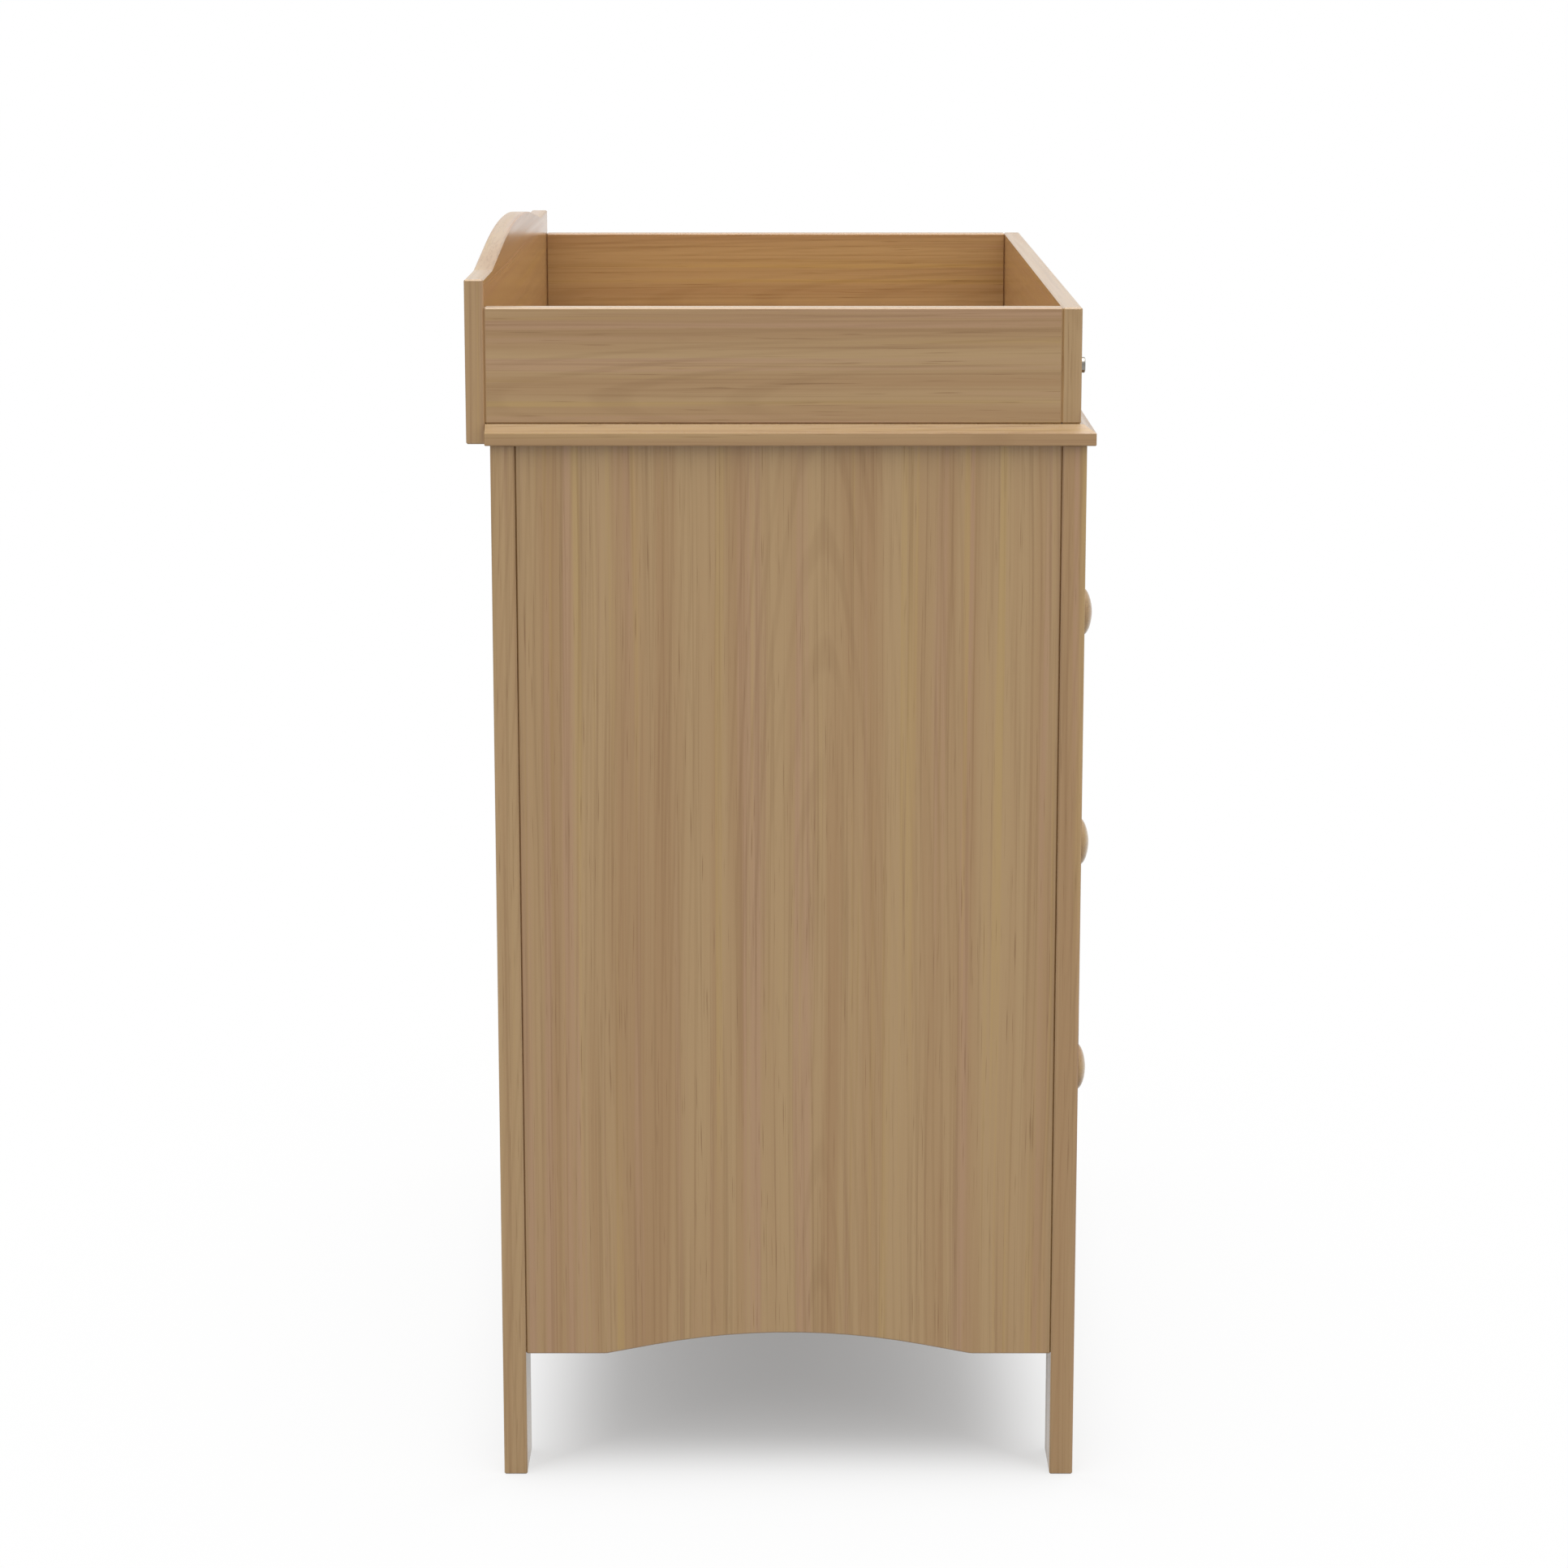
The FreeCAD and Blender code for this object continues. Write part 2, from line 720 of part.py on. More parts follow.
def backboard_screws():
    """Screws sunk flush from behind, into the tray's ends and into the top's rear edge."""
    places = (
        ("low", "topper_middle_x", "top_z + backboard_screw_inset", "topper_end_left"),
        ("high", "topper_middle_x", "top_z + topper_height - backboard_screw_inset", "topper_end_left"),
        ("top", "top_screw_offset", "case_height + (top_thickness - top_bevel_height) / 2", "top_panel"),
    )
    screws = []
    for level, x, z, target in places:
        name = f"backboard_{level}_screw"
        shank_place = (f"-({x})", "top_rear_y - screw_grip", z)
        shank_length = "screw_grip + topper_board - screw_head"
        boards = ["topper_backboard", target]
        shank = fastener(name, "y", *shank_place, shank_length, "screw_radius", boards)
        head_place = (f"-({x})", "top_rear_y + topper_board - screw_head", z)
        head_name = name + "_head"
        head = fastener(head_name, "y", *head_place, "screw_head", "screw_head_radius", boards[:1])
        screws.append(fused(name + "_whole", [shank, head]))
    keep("backboard_screws", pair("backboard_screws", group("backboard_screws_left", screws)))


def fused(name, items):
    """One solid out of several that touch."""
    item = document.addObject("Part::MultiFuse", name)
    item.Shapes = items
    return item


# ---------------------------------------------------------------- drawers


def knob(level):
    """A turned knob: a waisted neck under a domed head, cut from mark to mark."""
    body = document.addObject("PartDesign::Body", f"knob_{level}_blank")
    sketch = new_sketch(body, "XY_Plane")
    rim_end = "knob_underside + knob_rim_bevel + knob_rim"
    profile = (
        ("0", "0"),
        ("knob_foot_radius", "0"),
        ("knob_waist_radius", "-knob_waist"),
        ("knob_foot_radius + knob_rim_bevel", "-(knob_waist + knob_underside) / 2"),
        ("knob_radius - knob_rim_bevel", "-knob_underside"),
        ("knob_radius", "-knob_underside - knob_rim_bevel"),
        ("knob_radius", f"-({rim_end})"),
        ("(knob_radius + knob_dome_radius) / 2", f"-({rim_end} + 2 * (knob_projection - knob_dome)) / 3"),
        ("knob_dome_radius", "-knob_projection + knob_dome"),
        ("0", "-knob_projection"),
    )
    outline(sketch, profile)
    turning = body.newObject("PartDesign::Revolution", f"knob_{level}_turning")
    turning.Profile = sketch
    turning.ReferenceAxis = (sketch, ["V_Axis"])
    place(body, "-knob_spacing / 2", "rail_front_y", f"drawer_{level}_z + drawer_front_height / 2")
    return body


def drawer_bottom_groove(level):
    """The groove in the sides and the front that takes the drawer's bottom."""
    inner_x = "box_inner_x + drawer_groove_depth"
    groove = slab(
        f"drawer_{level}_groove",
        f"-({inner_x})",
        "box_front_y - drawer_groove_depth",
        f"drawer_{level}_z + bottom_lift - groove_clearance",
        f"2 * ({inner_x})",
        "drawer_length + drawer_groove_depth + drawer_groove_depth",
        "drawer_bottom_thickness + 2 * groove_clearance",
    )
    for piece in ("side_left", "front"):
        cutters.setdefault(f"drawer_{level}_{piece}", []).append(groove)


def drawer_fixings(level):
    """Knob screws, the front's dowels and the back's sunk screws."""
    base = f"drawer_{level}_z"
    side_middle = "-box_x + drawer_side_thickness / 2"
    front = f"drawer_{level}_front"
    side = f"drawer_{level}_side_left"
    knob_x, knob_z = "-knob_spacing / 2", f"{base} + drawer_front_height / 2"
    shank = fastener(
        f"knob_{level}_screw",
        "y",
        knob_x,
        "rail_front_y - knob_screw_depth",
        knob_z,
        "knob_screw_depth + drawer_front_thickness",
        "screw_radius",
        [front, f"knob_{level}"],
    )
    head = rod(f"knob_{level}_screw_head", "y", knob_x, "box_front_y", knob_z, "screw_head", "screw_head_radius")
    items = [fused(f"knob_{level}_screw_whole", [shank, head])]
    levels = (
        ("low", f"{base} + side_lift + screw_inset"),
        ("high", f"{base} + side_lift + drawer_side_height - screw_inset"),
    )
    for height, z in levels:
        name = f"drawer_{level}_{height}"
        dowel_place = (side_middle, "box_front_y - drawer_dowel_length / 2", z)
        items.append(
            fastener(name + "_dowel", "y", *dowel_place, "drawer_dowel_length", "dowel_radius", [front, side])
        )
        back_y = "box_rear_y - drawer_side_thickness / 2"
        boards = [side, f"drawer_{level}_back"]
        shank_place = ("-box_x + screw_head", back_y, z)
        shank_length = "drawer_side_thickness - screw_head + screw_grip"
        shank = fastener(name + "_screw", "x", *shank_place, shank_length, "screw_radius", boards)
        head_place = ("-box_x", back_y, z)
        head = fastener(name + "_head", "x", *head_place, "screw_head", "screw_head_radius", boards[:1])
        items.append(fused(name + "_screw_whole", [shank, head]))
    return pair(f"drawer_{level}_fixings", group(f"drawer_{level}_fixings_left", items))


def drawer(level):
    """One drawer: an inset front with two knobs, on a box of thin boards round a grooved bottom."""
    base = f"drawer_{level}_z"
    name = f"drawer_{level}"
    drawer_bottom_groove(level)
    keep(name + "_fixings", drawer_fixings(level))
    front = board(
        name + "_front_blank",
        "-opening_x + drawer_side_gap",
        "rail_front_y",
        base,
        "2 * (opening_x - drawer_side_gap)",
        "drawer_front_thickness",
        "drawer_front_height",
    )
    keep(name + "_front", machined(name + "_front", front, both_ends=True))
    side = board(
        name + "_side_blank",
        "-box_x",
        "box_front_y",
        f"{base} + side_lift",
        "drawer_side_thickness",
        "drawer_length",
        "drawer_side_height",
        easing="inner_easing",
    )
    keep_both(name + "_side", machined(name + "_side_left", side))
    back = board(
        name + "_back_blank",
        "-box_inner_x",
        "box_rear_y - drawer_side_thickness",
        f"{base} + bottom_lift + drawer_bottom_thickness",
        "2 * box_inner_x",
        "drawer_side_thickness",
        "drawer_side_height - drawer_bottom_rise - drawer_bottom_thickness",
        easing="inner_easing",
    )
    keep(name + "_back", machined(name + "_back", back, both_ends=True))
    inset = "drawer_groove_depth - groove_clearance"
    bottom = board(
        name + "_bottom_blank",
        f"-(box_inner_x + {inset})",
        f"box_front_y - ({inset})",
        f"{base} + bottom_lift",
        f"2 * (box_inner_x + {inset})",
        f"drawer_length + {inset}",
        "drawer_bottom_thickness",
        easing=None,
    )
    keep(name + "_bottom", bottom)
    knob_item = machined(f"knob_{level}", knob(level))
    keep(name + "_knobs", pair(name + "_knobs", knob_item))


# ---------------------------------------------------------------- roller runners


def runner_body(name, corners, rear_y, length, z):
    """A folded strip: its section, drawn from behind, extruded forwards from its rear end."""
    body = document.addObject("PartDesign::Body", name)
    sketch = new_sketch(body, "XZ_Plane")
    outline(sketch, corners)
    padded(body, sketch, length)
    place(body, "-opening_x", rear_y, z)
    return body


def axle(body, name, start_u, end_u, head_u, y):
    """A riveted axle that stands from the web, with a hammered head beyond the roller."""
    pin = body.newObject("PartDesign::AdditiveCylinder", name + "_pin")
    pin.Placement = FreeCAD.Placement(Vector(), TURNS["x"])
    place(pin, start_u, y, "roller_lift")
    bind(pin, Radius="axle_radius", Height=f"{end_u} - ({start_u})")
    head = body.newObject("PartDesign::AdditivePrism", name + "_head")
    head.Polygon = FASTENING_SIDES
    head.Placement = FreeCAD.Placement(Vector(), TURNS["x"])
    place(head, head_u, y, "roller_lift")
    bind(head, Circumradius="axle_head_radius", Height="axle_head")


def cabinet_runner(level):
    """The fixed half: a channel screwed to the cleat, with the front roller's axle and a lanced stop."""
    name = f"cabinet_runner_{level}"
    corners = (
        ("0", "-runner_wall"),
        ("runner_flange", "-runner_wall"),
        ("runner_flange", "0"),
        ("runner_wall", "0"),
        ("runner_wall", "runner_track"),
        ("runner_flange", "runner_track"),
        ("runner_flange", "runner_track + runner_wall"),
        ("0", "runner_track + runner_wall"),
    )
    rear_y = "runner_front_y + drawer_length"
    z = f"drawer_{level}_z + runner_rise"
    body = runner_body(name, corners, rear_y, "drawer_length", z)
    stop = body.newObject("PartDesign::AdditiveBox", name + "_stop")
    bind(stop, Length="stop_width", Width="runner_wall", Height="stop_height")
    place(stop, "runner_wall", f"stop_y - runner_wall - ({rear_y})", "stop_lift")
    head_u = "cabinet_roller_u + roller_width + axle_head_gap"
    axle_y = f"cabinet_roller_y - ({rear_y})"
    axle(body, name, "runner_wall", head_u, head_u, axle_y)
    keep(f"cabinet_runners_{level}", pair(f"cabinet_runners_{level}", body))


def drawer_runner(level):
    """The moving half: a strip under the drawer's side, up its face and out over the front roller."""
    name = f"drawer_{level}_runner"
    corners = (
        ("bearer_web_u", "-bearer_drop - runner_wall"),
        ("runner_space + drawer_side_thickness", "-bearer_drop - runner_wall"),
        ("runner_space + drawer_side_thickness", "-bearer_drop"),
        ("runner_space", "-bearer_drop"),
        ("runner_space", "bearer_top_w"),
        ("runner_space - bearer_flange - runner_wall", "bearer_top_w"),
        ("runner_space - bearer_flange - runner_wall", "bearer_top_w - runner_wall"),
        ("bearer_web_u", "bearer_top_w - runner_wall"),
    )
    z = f"drawer_{level}_z + runner_rise"
    body = runner_body(name, corners, "box_rear_y", "drawer_length", z)
    head_u = "bearer_roller_u - axle_head_gap - axle_head"
    axle(body, name, f"{head_u} + axle_head", "bearer_web_u", head_u, "bearer_roller_y - box_rear_y")
    keep(f"drawer_{level}_runners", pair(f"drawer_{level}_runners", body))


def roller(name, level, u, y):
    """A nylon roller, bored to turn freely on its axle."""
    z = f"drawer_{level}_z + runner_rise + roller_lift"
    wheel = document.addObject("PartDesign::Body", name + "_left")
    tyre = wheel.newObject("PartDesign::AdditiveCylinder", name + "_tyre")
    bind(tyre, Radius="roller_radius", Height="roller_width")
    bore = wheel.newObject("PartDesign::SubtractiveCylinder", name + "_bore")
    bind(bore, Radius="axle_radius + axle_clearance", Height="roller_width")
    wheel.Placement = FreeCAD.Placement(Vector(), TURNS["x"])
    place(wheel, f"-opening_x + {u}", y, z)
    keep(name, pair(name, wheel))


# ---------------------------------------------------------------- the whole dresser


def build():
    """Build every sub-part: first the fastenings, which say where the boards are bored."""
    fill_sheet()
    locks, studs, dowels = rail_joints()
    top_locks, top_studs = top_joints()
    keep("cam_locks", pair("cam_locks", group("cam_locks_left", locks + top_locks)))
    keep("cam_bolts", pair("cam_bolts", group("cam_bolts_left", studs + top_studs)))
    keep("dowels", pair("dowels", group("dowels_left", dowels + side_dowels())))
    connector_bolt()
    backboard_screws()
    back_groove()
    legs()
    side_panels()
    rails()
    back_panel()
    top_panel()
    runner_cleats()
    topper_ends()
    topper_front_rail()
    topper_backboard()
    for level in DRAWERS:
        drawer(level)
        cabinet_runner(level)
        drawer_runner(level)
        roller(f"cabinet_rollers_{level}", level, "cabinet_roller_u", "cabinet_roller_y")
        roller(f"drawer_{level}_rollers", level, "bearer_roller_u", "bearer_roller_y")
    document.recompute()


def check():
    """Stop if an object failed, or if a sub-part has no valid solid."""
    failed = [item.Name for item in document.Objects if {"Invalid", "Error"} & set(item.State)]
    failed += [name for name, item in nodes.items() if item.Shape.isNull() or not item.Shape.isValid()]
    failed += [name for name, item in nodes.items() if not item.Shape.Solids]
    if failed:
        raise RuntimeError("failed: " + ", ".join(failed))


def export():
    """Write each sub-part to a file of its own."""
    os.makedirs("parts", exist_ok=True)
    for name, item in nodes.items():
        item.Shape.exportStep(f"parts/{name}.step")
    whole = Part.makeCompound([item.Shape for item in nodes.values()]).BoundBox
    print(f"{len(nodes)} sub-parts, {whole.XLength:.1f} x {whole.YLength:.1f} x {whole.ZLength:.1f} mm")


build()
check()
export()
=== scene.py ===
# %% [markdown]
# # A changing dresser in clear-lacquered pine
#
# The dresser's boards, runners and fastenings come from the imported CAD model, which is loaded first and is never
# moved. This lesson gives each board its wood, turns the knobs and the screw heads that the CAD model leaves plain,
# and sets the dresser on a pale floor in front of the camera.

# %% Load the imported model
import math
import bpy
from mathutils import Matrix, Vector


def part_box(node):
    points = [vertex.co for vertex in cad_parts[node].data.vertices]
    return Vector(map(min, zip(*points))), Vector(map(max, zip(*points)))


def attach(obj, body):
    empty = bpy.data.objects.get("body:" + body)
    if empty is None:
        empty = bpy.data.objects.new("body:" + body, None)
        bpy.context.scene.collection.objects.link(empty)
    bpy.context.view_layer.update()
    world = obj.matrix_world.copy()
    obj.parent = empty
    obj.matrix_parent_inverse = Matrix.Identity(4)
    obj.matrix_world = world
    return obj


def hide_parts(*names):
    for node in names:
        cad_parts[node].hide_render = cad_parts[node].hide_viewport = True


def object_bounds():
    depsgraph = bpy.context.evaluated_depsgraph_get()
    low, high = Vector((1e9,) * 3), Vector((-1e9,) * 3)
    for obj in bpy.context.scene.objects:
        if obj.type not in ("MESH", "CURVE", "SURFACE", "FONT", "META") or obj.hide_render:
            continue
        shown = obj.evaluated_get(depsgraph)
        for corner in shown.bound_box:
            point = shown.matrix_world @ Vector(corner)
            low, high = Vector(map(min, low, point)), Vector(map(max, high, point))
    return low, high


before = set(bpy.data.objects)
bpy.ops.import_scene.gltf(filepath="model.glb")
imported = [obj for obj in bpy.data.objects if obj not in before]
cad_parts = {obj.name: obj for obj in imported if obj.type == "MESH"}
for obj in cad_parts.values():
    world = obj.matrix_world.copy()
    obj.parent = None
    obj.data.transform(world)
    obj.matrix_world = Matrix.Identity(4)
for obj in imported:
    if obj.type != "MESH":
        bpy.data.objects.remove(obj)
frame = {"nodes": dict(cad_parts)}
cad_nodes = frame["nodes"]
cad_low, cad_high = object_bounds()
scene = bpy.context.scene
scene.view_settings.view_transform = "Standard"

# %% [markdown]
# ## The camera
#
# The photograph looks squarely at the dresser's left end, a little down into its changing tray. A long lens, three
# and a half metres from the dresser's middle, keeps the far end of the tray three quarters as wide as the near end.
# The real camera had its film shifted far down so that the legs stay parallel. A small shift and a gentle tilt come
# near that and keep the whole dresser in view from every other side too. The numbers are the best fit to seventeen
# corners measured in the photograph.

# %% Camera
CAMERA_PLACE = (-3.5, 0.0058, 1.2985)  # metres
TILT_DEG = 10.41
LENS_MM, FILM_MM = 86.1, 36
FILM_SHIFT = -0.09
camera = bpy.data.objects.new("camera", bpy.data.cameras.new("camera"))
scene.collection.objects.link(camera)
scene.camera = camera
camera.location = CAMERA_PLACE
camera.rotation_euler = (math.radians(90 - TILT_DEG), 0, math.radians(-90))
camera.data.lens = LENS_MM
camera.data.sensor_width = FILM_MM
camera.data.shift_y = FILM_SHIFT
print("camera", camera.location[:], "lens", camera.data.lens)

# %% [markdown]
# ## Helpers for materials
#
# A colour is written as the hex value that a paint shop would give, and Blender wants it linear, so one function
# turns it. Another adds a node with its options, its socket values and its links, which keeps each material short
# enough to read from top to bottom.


# %% Colour and node helpers
def linear(hex_colour):
    """An sRGB hex value as Blender's linear red, green, blue and alpha."""
    values = [int(hex_colour[i : i + 2], 16) / 255 for i in (1, 3, 5)]
    return (*(v / 12.92 if v <= 0.04045 else ((v + 0.055) / 1.055) ** 2.4 for v in values), 1)


def add(tree, kind, values=None, links=None, **options):
    """Adds a node, sets its options and socket values, and links other nodes' outputs into its sockets."""
    node = tree.nodes.new("ShaderNode" + kind)
    for option, value in options.items():
        setattr(node, option, value)
    for socket, value in (values or {}).items():
        node.inputs[socket].default_value = value
    for socket, output in (links or {}).items():
        tree.links.new(output, node.inputs[socket])
    return node


def new_material(name):
    """An empty node material and its tree."""
    material = bpy.data.materials.new(name)
    material.use_nodes = True
    material.node_tree.nodes.clear()
    return material, material.node_tree


def finish_material(tree, shader):
    """Links a shader to the material's output."""
    add(tree, "OutputMaterial", links={"Surface": shader.outputs[0]})


WHITE = linear("#FFFFFF")
print("white paint in linear values:", WHITE)

# %% [markdown]
# ## The floor
#
# The dresser stands on a wide sheet of white paper, modelled as a plain disc. What the paper throws back at the
# dresser is kept low, as in the photograph, where the tray inside is as light as the end outside. Rays from the
# camera and from glossy surfaces see it as brighter paper, with the soft shadow under the case. A veil of painted
# white that only those rays see lies over it, thin under the case and full further out, so that the floor runs into
# the white background. The veil follows the case's outline rather than the light. So the shadow under the case is
# partly real and partly painted shadow: its flat middle and its edge are painted by where the white thins. Nothing
# of that veil reaches the dresser as extra light.

# %% The sheet of paper
FLOOR_RADIUS = 30  # metres
bpy.ops.object.select_all(action="DESELECT")
bpy.ops.mesh.primitive_circle_add(vertices=96, radius=FLOOR_RADIUS, fill_type="NGON", location=(0, 0, 0))
floor = bpy.context.object
floor.name = "studio_floor"
print("floor", [round(side, 1) for side in floor.dimensions[:2]], "m")

# %% Which rays see the veil
paper, tree = new_material("white_paper_sweep")
path = add(tree, "LightPath")
links = {0: path.outputs["Is Camera Ray"], 1: path.outputs["Is Glossy Ray"]}
seen = add(tree, "Math", links=links, operation="MAXIMUM")
links = {0: seen.outputs[0], 1: path.outputs["Is Transmission Ray"]}
seen = add(tree, "Math", links=links, operation="MAXIMUM")
print("the veil is seen by camera, glossy and transmission rays")

# %% How thick the veil is, from the case outwards: the painted edge of the shadow under the case
CASE_HALVES = {"X": cad_high.x, "Y": 0.25}  # metres, half the case's length and depth
VEIL_FROM, VEIL_TO = -0.25, 0.75  # metres inside and outside the case's outline
PAINTED_SHADOW_VEIL = (  # place between those two, and how much white is there
    (0.0, 0.27), (0.15, 0.3), (0.2, 0.45), (0.26, 0.86), (0.33, 0.94), (0.6, 0.97), (1.0, 1.0),
)
place = add(tree, "TexCoord")
part = add(tree, "SeparateXYZ", links={0: place.outputs["Object"]})
beyond = []
for axis, half in CASE_HALVES.items():
    reach = add(tree, "Math", links={0: part.outputs[axis]}, operation="ABSOLUTE")
    beyond.append(add(tree, "Math", {1: half}, {0: reach.outputs[0]}, operation="SUBTRACT"))
outside = add(tree, "Math", links={0: beyond[0].outputs[0], 1: beyond[1].outputs[0]}, operation="MAXIMUM")
spread = add(tree, "MapRange", {"From Min": VEIL_FROM, "From Max": VEIL_TO}, {"Value": outside.outputs[0]})
# Painted shadow: the white thins towards the case's middle and so shapes the shadow under it
fade = add(tree, "ValToRGB", links={0: spread.outputs[0]})
fade.color_ramp.interpolation = "B_SPLINE"
stops = fade.color_ramp.elements  # a new ramp has only its two end stops
for where, amount in PAINTED_SHADOW_VEIL[1:-1]:
    stops.new(where)
for stop, (where, amount) in zip(stops, PAINTED_SHADOW_VEIL):
    stop.color = (amount, amount, amount, 1)
print("veil", PAINTED_SHADOW_VEIL[0][1], "under the case and", PAINTED_SHADOW_VEIL[-1][1], "from", VEIL_TO, "m outside it")

# %% The paper's finish
PAPER_SEEN, PAPER_THROWN = 0.6, 0.32
veil = add(tree, "Math", links={0: fade.outputs["Color"], 1: seen.outputs[0]}, operation="MULTIPLY")
tone = add(tree, "MapRange", {"To Min": PAPER_THROWN, "To Max": PAPER_SEEN}, {"Value": seen.outputs[0]})
matt = add(tree, "BsdfDiffuse", links={"Color": tone.outputs[0]})
white = add(tree, "Emission", {"Color": WHITE, "Strength": 1.0})
shader = add(tree, "MixShader", links={0: veil.outputs[0], 1: matt.outputs[0], 2: white.outputs[0]})
finish_material(tree, shader)
floor.data.materials.append(paper)
print("paper", PAPER_SEEN, "to the camera and", PAPER_THROWN, "to the dresser")

# %% [markdown]
# ## The world and a lamp
#
# The room is white, with soft light from all round and more from overhead, so that faces that look up come out
# lighter than upright ones. The world gives that light, and a world has no fall-off, so the floor is lit evenly all
# over. It has three faces. The wood is lit by one that rises slowly from the horizon to straight up. Glossy rays
# meet a second one that is much stronger close to straight up, like a wide soft box over the dresser, which the
# lacquer shows on the bevel of the top and hardly anywhere else. The camera sees the third, plain white.
#
# One large, weak lamp in front adds a little shape.

# %% World
HORIZON, ZENITH, OVERHEAD = 0.85, 2.5, 8.0
ZENITH_POWER, OVERHEAD_POWER = 2, 8  # how closely each gathers round straight up
world = bpy.data.worlds.new("studio")
scene.world = world
world.use_nodes = True
tree = world.node_tree
tree.nodes.clear()
path = add(tree, "LightPath")
place = add(tree, "TexCoord")
part = add(tree, "SeparateXYZ", links={0: place.outputs["Generated"]})
height = add(tree, "Math", {1: 0}, {0: part.outputs["Z"]}, operation="MAXIMUM")
faces = []
for top, power in ((ZENITH, ZENITH_POWER), (OVERHEAD, OVERHEAD_POWER)):
    gathered = add(tree, "Math", {1: power}, {0: height.outputs[0]}, operation="POWER")
    values = {1: top - HORIZON, 2: HORIZON}
    light = add(tree, "Math", values, {0: gathered.outputs[0]}, operation="MULTIPLY_ADD")
    faces.append(add(tree, "Background", {"Color": WHITE}, {"Strength": light.outputs[0]}))
shown = add(tree, "Background", {"Color": WHITE, "Strength": 1.0})
links = {0: path.outputs["Is Glossy Ray"], 1: path.outputs["Is Transmission Ray"]}
bounce = add(tree, "Math", links=links, operation="MAXIMUM")
first = add(tree, "MixShader", links={0: bounce.outputs[0], 1: faces[0].outputs[0], 2: faces[1].outputs[0]})
mixed = add(tree, "MixShader", links={0: path.outputs["Is Camera Ray"], 1: first.outputs[0], 2: shown.outputs[0]})
add(tree, "OutputWorld", links={"Surface": mixed.outputs[0]})
print("world", HORIZON, "at the horizon,", ZENITH, "straight up, and", OVERHEAD, "there in gloss")

# %% One soft lamp, for a little shape
LAMP_WATTS, LAMP_WIDTH = 5, 2.2  # watts and metres
LAMP_PLACE, LAMP_AIM = Vector((-2.6, -3.2, 2.3)), Vector((0, 0, 0.6))
lamp = bpy.data.lights.new("front_softbox", "AREA")
lamp.energy = LAMP_WATTS
lamp.size = LAMP_WIDTH
softbox = bpy.data.objects.new("front_softbox", lamp)
scene.collection.objects.link(softbox)
softbox.location = LAMP_PLACE
softbox.rotation_euler = (LAMP_AIM - LAMP_PLACE).to_track_quat("-Z", "Y").to_euler()
print("lamp", lamp.energy, "W")

# %% [markdown]
# ## Clear-lacquered pine
#
# The real boards are pine, planed, sanded and sprayed with a satin clear lacquer. Pine shows soft bands about 24 mm
# wide where the saw met early and late growth, and in them narrower streaks, some pinkish and some yellow. Over them
# run the growth rings, as lines a few millimetres apart that close into tall pointed flames where the saw grazed a
# ring, then darker streaks of 2 to 3 mm, and fine fibres about a millimetre wide and some centimetres long. All of
# it wanders a few millimetres along the board.
#
# So the pattern is made of noises that are stretched along the grain, with their sizes in millimetres, and of rings
# round a leaning pith just behind the board's face. Each layer shows only where its noise is high. Every board is
# measured first: its longest side tells where the grain runs, and its thinnest side is the depth. A seed of its own
# gives each board its own piece of the log. On a face that looks along the grain, the pattern runs along that face's
# longer side instead, as on the sealed, sanded ends in the photograph.
#
# The drawer boxes and the cleats are the same pine without lacquer, paler and matt.

# %% Where a board lies and which way it runs
MM = 0.001  # metres
AXES = "XYZ"


def board_axes(node, grain=None):
    """A board's middle, and its axes in order of width, thickness and grain."""
    low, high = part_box(node)
    size = high - low
    order = sorted(range(3), key=lambda i: size[i])
    along = AXES.index(grain) if grain else order[2]
    others = [i for i in order if i != along]
    return (low + high) / 2, [AXES[others[1]], AXES[others[0]], AXES[along]]


print("top_panel runs along", board_axes("top_panel")[1][2])

# %% Colours and layers of the pine
LACQUERED = {"light": "#AA8C63", "dark": "#A07F58", "mauve": "#A88566", "glow": "#AF9158", "fibre": "#7C5A34"}
RAW = {"light": "#C5AA82", "dark": "#BA9D70", "mauve": "#BD9F7B", "glow": "#C8AD79", "fibre": "#9A7A4E"}
SATIN, PLANED = 0.2, 0.55  # roughness of the lacquer and of bare wood
SEED_STRIDE = 3.7  # how far apart two boards lie in the noise
NOISES = {  # mm across the grain, mm along it, detail, a step in the seed
    "drift": (130, 700, 1, 0.0),
    "bands": (24, 1500, 3, 1.3),
    "mauve": (14, 1200, 2, 2.9),
    "glow": (9, 1100, 2, 4.1),
    "patches": (45, 500, 1, 6.2),
    "streaks": (2.4, 420, 3, 7.7),
    "fibres": (1.2, 55, 1, 9.4),
}
SHOWN = {  # the noise's value where a layer begins, where it is full, and its strength there
    "bands": (0.38, 0.62, 1.0),
    "mauve": (0.52, 0.66, 0.75),
    "glow": (0.54, 0.7, 0.5),
    "rings": (0.62, 1.0, 0.17),
    "patches": (0.4, 0.62, 1.0),
    "streaks": (0.48, 0.7, 0.34),
    "fibres": (0.62, 0.78, 0.6),
}
RING_GAP, RING_WOBBLE = 7, 1.6  # mm, and how uneven the rings are
RING_SCALE = math.pi / 10 / (RING_GAP * MM)  # Blender's rings repeat every pi / (10 x scale) metres
END_SLANT = 0.4  # a normal with more than this along the grain belongs to an end
FIBRE_RELIEF = 0.05  # mm
print(len(NOISES), "noises, the finest", NOISES["fibres"][0], "mm wide")

# %% [markdown]
# The tray's boards throw warm light on each other. The bounces that Blender follows give only a part of that, so the
# faces that look into the tray get a painted bounce light: they are tinted a little more orange.

# %% The pine itself
# Painted bounce light: how much warmer the faces inside the tray are made
PAINTED_BOUNCE_TINT = (1.14, 1.08, 1.0, 1)


